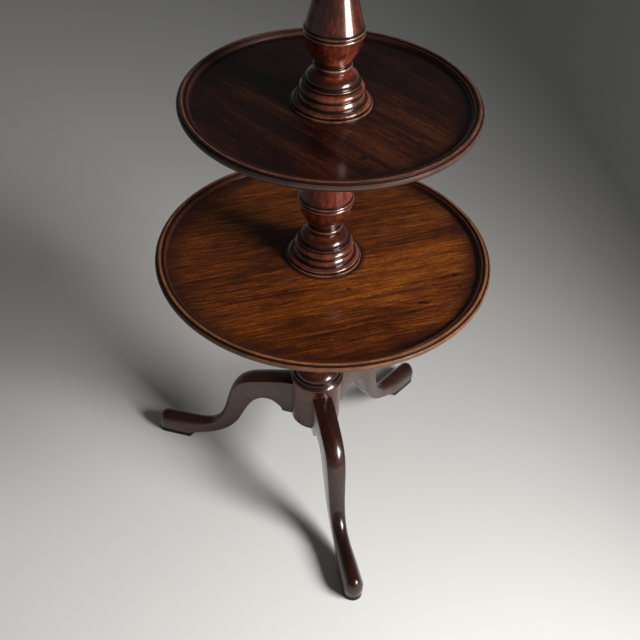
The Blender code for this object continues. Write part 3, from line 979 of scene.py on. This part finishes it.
def tongue_corners(clearance, outer_s):
    """Plan of a leg's dovetail, or with a clearance of its socket in the drum."""
    inner_s = drum_r - tongue_depth - clearance
    flare = (tongue_end_w - tongue_root_w) / 2 / tongue_depth
    inner_half = tongue_end_w / 2 + clearance + flare * clearance
    outer_half = inner_half - flare * (outer_s - inner_s)
    return [(inner_s, -inner_half), (outer_s, -outer_half), (outer_s, outer_half),
            (inner_s, inner_half)]


def screw_outline(length, clearance):
    """From the edge of the head, at z = 0, up to the middle of the tip."""
    return [(screw_head_r + clearance, 0.0),
            (screw_shank_r + clearance, screw_head_h + clearance),
            (screw_shank_r + clearance, length - screw_shank_r),
            (screw_shank_r / 2 + clearance, length + clearance), (0.0, length + clearance)]


def screw_mesh(name, length):
    """A countersunk screw that points up from its slotted head."""
    mesh = turned_mesh(name, [(0.0, 0.0)] + screw_outline(length, 0.0), screw_facets,
                       radius=screw_round)
    slot = prism_mesh(name + "_slot", rectangle(screw_head_r + overrun, slot_w / 2), -overrun,
                      slot_depth)
    return shade(cut_mesh(mesh, [(slot, Matrix.Identity(4))]))


def screw_hole_mesh(name, length):
    """The cutter for a screw, wider by the gap all round."""
    foot = [(0.0, -overrun), (screw_head_r + gap, -overrun)]
    return turned_mesh(name, foot + screw_outline(length, gap), screw_facets, radius=hole_round)


def make_bearer(tier, material, iron, screw, hole):
    """The block under a tray, with the screws that hold it there."""
    foot_z = shoulder_h(tier) + gap
    bore_r = (pivot_r if tier == "top" else spindle_r) + gap
    middle_z = foot_z + bearer_t / 2
    edge = arc(bearer_r - bearer_edge_r, foot_z + bearer_edge_r, bearer_edge_r, bearer_edge_r,
               -pi / 2, 0.0)
    outline = ([(bore_r, middle_z), (bore_r, foot_z)] + edge
               + [(bearer_r, foot_z + bearer_t), (bore_r, foot_z + bearer_t), (bore_r, middle_z)])
    mesh = turned_mesh(tier + "_bearer", outline, stem_facets)
    places = [round_axis(bearer_screw_circle_r, (2 * i + 1) * pi / bearer_screw_count, foot_z)
              for i in range(bearer_screw_count)]
    mesh = shade(cut_mesh(mesh, [(hole, Matrix.Translation(place)) for place in places]))
    body = tier + "_turntable"
    add_piece(tier + "_bearer", mesh, material, "bearer_wood", body)
    for number, place in enumerate(places, start=1):
        slot_turn = number * bearer_slot_turn + len(tier) * tier_slot_turn
        add_piece("%s_bearer_screw_%d" % (tier, number), screw, iron, "iron", body, slot_turn,
                  place)


def blended(first, second, before, after, t):
    """A smooth curve through first and second, guided by the stations on either side."""
    slope_in = (second - before) / 2
    slope_out = (after - first) / 2
    return ((2 * t ** 3 - 3 * t ** 2 + 1) * first + (t ** 3 - 2 * t ** 2 + t) * slope_in
            + (3 * t ** 2 - 2 * t ** 3) * second + (t ** 3 - t ** 2) * slope_out)


def leg_stations():
    """Top place and height, under place and height, width and crown, closely spaced."""
    toe_s = leg_reach - toe_r
    span = toe_s - drum_r
    foot_z = pad_t + gap
    rise = leg_top_h - foot_z
    under_rise = drum_base_h - foot_z
    hub_crown = leg_w * leg_stations_share[0][-1]
    keys = [(s, leg_top_h, s, drum_base_h, leg_w, hub_crown) for s in (drum_r - leg_w / 2, drum_r)]
    for top_s, top_h, under_s, under_h, width, crown in leg_stations_share:
        keys.append((drum_r + span * top_s, foot_z + rise * top_h, drum_r + span * under_s,
                     foot_z + under_rise * under_h, leg_w * width, leg_w * crown))
    toe_crown = keys[-1][-1] * toe_crown_growth
    keys.append((toe_s, foot_z + toe_h, toe_s, foot_z, 2 * toe_r, toe_crown))
    stations = []
    for i in range(1, len(keys) - 1):
        before, first, second = keys[i - 1], keys[i], keys[i + 1]
        after = keys[min(i + 2, len(keys) - 1)]
        for j in range(station_steps):
            stations.append([blended(*values, j / station_steps)
                             for values in zip(first, second, before, after)])
    round_s = toe_r * sin(toe_turn) / sin(toe_last_turn)
    for i in range(toe_steps + 1):
        turn = toe_last_turn * i / toe_steps
        s = toe_s + round_s * sin(turn)
        top_z = foot_z + toe_h * cos(turn) ** toe_round_power
        stations.append((s, top_z, s, foot_z, 2 * toe_r * cos(turn),
                         min(toe_crown, toe_crown_share * (top_z - foot_z))))
    return stations


def leg_section(width, height, crown):
    """Flat under side, flat flanks, crisp arrises and a crowned top, as (across, up) points."""
    half = width / 2
    round_r = min(leg_arris_round, arris_share * width, arris_share * height)
    side_h = height - crown
    fullness = min(full_crown_share, max(0.0, crown / max(width, tiny) - flat_crown_share))
    start = radians(crown_start - crown_start_fall * fullness)
    reach = half / cos(start)
    lift = crown / (1 - sin(start))
    crown_line = []
    for i in range(crown_points + 1):
        turn = start + (pi - 2 * start) * i / crown_points
        crown_line.append(Vector((reach * cos(turn), side_h + lift * (sin(turn) - sin(start)))))
    left = Vector((-half, 0.0))
    right = Vector((half, 0.0))
    return (corner_curve(crown_line[-1], left, right, round_r)
            + corner_curve(left, right, crown_line[0], round_r)
            + corner_curve(right, crown_line[0], crown_line[1], round_r)
            + crown_line[1:-1] + corner_curve(crown_line[-2], crown_line[-1], left, round_r))


def leg_wear(count):
    """Wear at each point of a section: its rounded corners are its first points and its last."""
    return [float(i < 3 * curve_points or i >= count - curve_points) for i in range(count)]


def leg_mesh(name):
    rings = []
    wear = []
    hub_r = drum_r + gap
    for top_s, top_h, under_s, under_h, width, crown in leg_stations():
        under = Vector((under_s, 0.0, under_h))
        upwards = Vector((top_s, 0.0, top_h)) - under
        height = upwards.length
        section = leg_section(width, height, crown)
        rings.append([under + upwards / height * point.y + Vector((0.0, point.x, 0.0))
                      for point in section])
        wear += leg_wear(len(section))
    for place in rings[0]:
        place.x = sqrt(hub_r ** 2 - place.y ** 2)
    mesh = lofted_mesh(name, rings, {"wear": wear})
    face_outwards(mesh)
    tongue = prism_mesh("tongue", tongue_corners(0.0, drum_r + tongue_lap), drum_base_h + gap,
                        leg_top_h - tongue_top_drop)
    return shade(cut_mesh(mesh, [(tongue, Matrix.Identity(4))], "UNION"), crease_from)


def sole_half_w(heel_s):
    """Half the width of the leg's flat under side, at a place along the leg."""
    sole = [(station[2], station[4] / 2) for station in leg_stations()]
    for (low_s, low_half), (high_s, high_half) in zip(sole, sole[1:]):
        if low_s <= heel_s <= high_s:
            return low_half + (high_half - low_half) * (heel_s - low_s) / (high_s - low_s)
    return toe_r


def pad_mesh(name):
    """A thin dark pad with straight flanks, a round toe and a heel that slants in to the floor."""
    round_r = toe_r - pad_inset
    turns = [pi / 2 - pi * i / toe_pad_steps for i in range(toe_pad_steps + 1)]
    toe_s = leg_reach - toe_r
    rings = []
    for height, heel_s in ((0.0, leg_reach - pad_length),
                           (pad_t, leg_reach - pad_length - pad_heel_slant)):
        half = sole_half_w(heel_s) - pad_inset
        toe = [(toe_s + round_r * cos(a), round_r * sin(a)) for a in turns]
        rings.append([(x, y, height) for x, y in [(heel_s, half)] + toe + [(heel_s, -half)]])
    mesh = lofted_mesh(name, rings)
    face_outwards(mesh)
    return rounded_mesh(mesh, pad_round)


def turned_copy(mesh, name, azimuth, shift):
    """A copy turned about the column, with its old places kept and shifted for its grain."""
    copy = mesh.copy()
    copy.name = name
    layer = copy.attributes.new("leg_place", "FLOAT_VECTOR", "POINT")
    places = [number for vertex in copy.vertices for number in vertex.co + Vector((0, shift, 0))]
    layer.data.foreach_set("vector", places)
    copy.transform(Matrix.Rotation(azimuth, 4, "Z"))
    return copy


def make_legs(material, pad_material):
    leg_shape = leg_mesh("leg")
    pad_shape = pad_mesh("foot_pad")
    for number, (side, azimuth) in enumerate(leg_azimuths.items()):
        shift = number * leg_reach
        leg = turned_copy(leg_shape, "leg_" + side, azimuth, shift)
        pad = turned_copy(pad_shape, "foot_pad_" + side, azimuth, shift)
        add_piece("leg_" + side, leg, material, "leg_wood", "stand")
        add_piece("foot_pad_" + side, pad, pad_material, "pad_wood", "stand")


def make_lower_column(material, holes):
    top_z = shoulder_h("lower")
    drum_top = drum_base_h + drum_h
    outline = ([(0.0, drum_base_h), (drum_r, drum_base_h), (drum_r, drum_top)]
               + stem_outline((), drum_top, top_z) + socket_outline(top_z))
    mesh = turned_mesh("lower_column", outline, stem_facets)
    socket = prism_mesh("dovetail", tongue_corners(gap, drum_r + tongue_lap),
                        drum_base_h - overrun, leg_top_h - tongue_top_drop + gap)
    cutters = [(socket, Matrix.Rotation(a, 4, "Z")) for a in leg_azimuths.values()]
    mesh = shade(cut_mesh(mesh, cutters + holes), crease_from)
    add_piece("lower_column", mesh, material, "stem_wood", "stand")


def brace_places():
    outer_r = brace_reach - brace_arm_w / 2
    return [round_axis(r, a, brace_z) for a in leg_azimuths.values()
            for r in (brace_screw_inner_r, outer_r)]


def brace_mesh(name, holes):
    """Three round-ended arms about a common middle, as one flat plate."""
    half = brace_arm_w / 2
    end_s = brace_reach - half
    turns = sorted(leg_azimuths.values())
    corners = []
    for index, turn in enumerate(turns):
        out = Vector((cos(turn), sin(turn)))
        across = Vector((-sin(turn), cos(turn)))
        for i in range(brace_end_steps + 1):
            a = -pi / 2 + pi * i / brace_end_steps
            point = out * (end_s + half * cos(a)) + across * half * sin(a)
            corners.append(tuple(point))
        opening = (turns[(index + 1) % len(turns)] - turn) % (2 * pi)
        middle = turn + opening / 2
        notch = half / sin(opening / 2)
        corners.append((cos(middle) * notch, sin(middle) * notch))
    plate = prism_mesh(name, corners, brace_z, brace_z + brace_t)
    return shade(cut_mesh(rounded_mesh(plate, plate_round), holes))


def make_object():
    stem_wood = stem_finish()
    leg_wood = leg_finish()
    bearer_wood = bearer_finish()
    iron = iron_finish()
    tray_woods = (
        tray_finish("lower", lower_tray_tones, gold_bead, gold_nose, radians(4.0), (0.35, 0.16),
                    0.65, 1.0, lower_tray_stains),
        tray_finish("middle", middle_tray_tones, brown_bead, brown_nose, radians(-58.0),
                    (0.4, 0.12), 1.3, 2.0, middle_tray_stains),
        tray_finish("top", top_tray_tones, brown_bead, brown_nose, radians(18.0), (0.5, 0.14),
                    0.8, 4.0),
    )
    brace_hole = screw_hole_mesh("brace_screw_hole", brace_screw_l)
    places = brace_places()
    brace_holes = [(brace_hole, Matrix.Translation(place)) for place in places]
    make_lower_column(stem_wood, brace_holes)
    make_stem("middle_stem", "lower", "middle", socket_outline, radians(40.0), stem_wood)
    make_stem("upper_stem", "middle", "top", pivot_outline, 0.0, stem_wood)
    make_legs(leg_wood, pad_finish())
    add_piece("leg_brace", brace_mesh("leg_brace", brace_holes), iron, "iron", "stand")
    brace_screw = screw_mesh("brace_screw", brace_screw_l)
    for number, place in enumerate(places, start=1):
        add_piece("brace_screw_%d" % number, brace_screw, iron, "iron", "stand",
                  number * brace_slot_turn, place)
    tray_screw = screw_mesh("tray_screw", tray_screw_l)
    tray_hole = screw_hole_mesh("tray_screw_hole", tray_screw_l)
    for number, (tier, wood) in enumerate(zip(tray_radii, tray_woods)):
        make_tray(tier, wood, first_rim_seed + number)
        make_bearer(tier, bearer_wood, iron, tray_screw, tray_hole)


# Studio.

floor_half = 9.0
lamp_tone = (1.0, 0.985, 0.955)
key_energy = 150.0
key_back_energy = 34.0
key_w = 1.22
key_h = 1.30
sheen_h = 0.34
fill_energy = 24.0
sky_levels = ((0.0, 0.26), (0.10, 0.21), (0.26, 0.07), (1.0, 0.055))


def make_floor():
    corners = [(x, y, 0.0) for x, y in rectangle(floor_half, floor_half)]
    mesh = new_mesh("floor", corners, [(0, 1, 2, 3)])
    paint = Finish("floor_paint", 0.75, specular=0.2)
    mottle = paint.noise(paint.coords, scale=1.7, detail=4.0)
    paint.set("Base Color", paint.mix(mottle, dark_paint, pale_paint))
    mesh.materials.append(paint.material)
    linked("floor", mesh)


def make_world():
    """A dim room with a pale band round the horizon."""
    world = bpy.data.worlds.new("studio")
    world.use_nodes = True
    tree = world.node_tree
    sky = tree.nodes["Background"]
    coords = tree.nodes.new("ShaderNodeTexCoord")
    parts = tree.nodes.new("ShaderNodeSeparateXYZ")
    band = tree.nodes.new("ShaderNodeValToRGB")
    tree.links.new(coords.outputs["Generated"], parts.inputs[0])
    tree.links.new(parts.outputs["Z"], band.inputs["Fac"])
    tree.links.new(band.outputs["Color"], sky.inputs["Color"])
    set_stops(band.color_ramp, [(place, (level, level, level)) for place, level in sky_levels])
    bpy.context.scene.world = world


def make_lamp(name, energy, size, place, facing, lean_back):
    """A soft rectangular lamp that stands upright, faces an azimuth and leans back."""
    data = bpy.data.lights.new(name, "AREA")
    data.shape = "RECTANGLE"
    data.size, data.size_y = size
    data.energy = energy
    data.color = lamp_tone
    lamp = linked(name, data)
    lamp.location = place
    lamp.rotation_euler = (pi / 2 + lean_back, 0.0, facing - pi / 2)
    lamp.visible_camera = False
    return lamp


def make_key_lamp():
    """A broad lamp on the right throws its light along -X. Its weaker back lights the floor beyond.

    The trays are lit by a twin that gives no gleam, and only a strip along its top gleams on them,
    so that their wood also shows from the side that faces the lamp.
    """
    size = (key_w, key_h)
    place = Vector((column_x + 1.250, column_y - 1.413, 1.400))
    facing = radians(175.9)
    lean_back = radians(11.0)
    key = make_lamp("key", key_energy, size, place, facing, lean_back)
    twin = make_lamp("key_on_trays", key_energy, size, place, facing, lean_back)
    twin.visible_glossy = False
    upwards = key.rotation_euler.to_matrix() @ Vector((0.0, (key_h - sheen_h) / 2, 0.0))
    sheen = make_lamp("sheen_on_trays", key_energy * sheen_h / key_h, (key_w, sheen_h),
                      place + upwards, facing, lean_back)
    sheen.visible_diffuse = False
    for entry in all_but_trays.collection_objects:
        entry.light_linking.link_state = "EXCLUDE"
    key.light_linking.receiver_collection = all_but_trays
    twin.light_linking.receiver_collection = trays_alone
    sheen.light_linking.receiver_collection = trays_alone
    make_lamp("key_back", key_back_energy, size, place, facing + pi, radians(-18.0))


def make_fill_lamp():
    """A weak low lamp behind the table, for its turnings and legs alone. It gives no gleam."""
    azimuth = radians(125.0)
    away = 2.0
    height = 0.45
    place = from_column(away, azimuth, height)
    lamp = make_lamp("fill", fill_energy, (1.60, 0.80), place, azimuth + pi, 0.0)
    lamp.visible_glossy = False
    lamp.light_linking.receiver_collection = table_but_trays


def make_camera():
    """The photograph's view: from above and slightly left of the front leg, a little rolled."""
    azimuth = radians(-105.4)
    away = 1.4532
    height = 1.7281
    pitch = radians(42.08)
    roll = radians(2.84)
    focal_px = 1029.0
    frame_px = 640.0
    data = bpy.data.cameras.new("camera")
    data.sensor_width = 36.0
    data.lens = data.sensor_width * focal_px / frame_px
    camera = linked("camera", data)
    camera.location = from_column(away, azimuth, height)
    turned = (Matrix.Rotation(azimuth + pi / 2, 3, "Z") @ Matrix.Rotation(pi / 2 - pitch, 3, "X")
              @ Matrix.Rotation(roll, 3, "Z"))
    camera.rotation_euler = turned.to_euler()
    bpy.context.scene.camera = camera


make_camera()
make_object()
make_floor()
make_world()
make_key_lamp()
make_fill_lamp()
bpy.context.scene.view_settings.view_transform = "Standard"
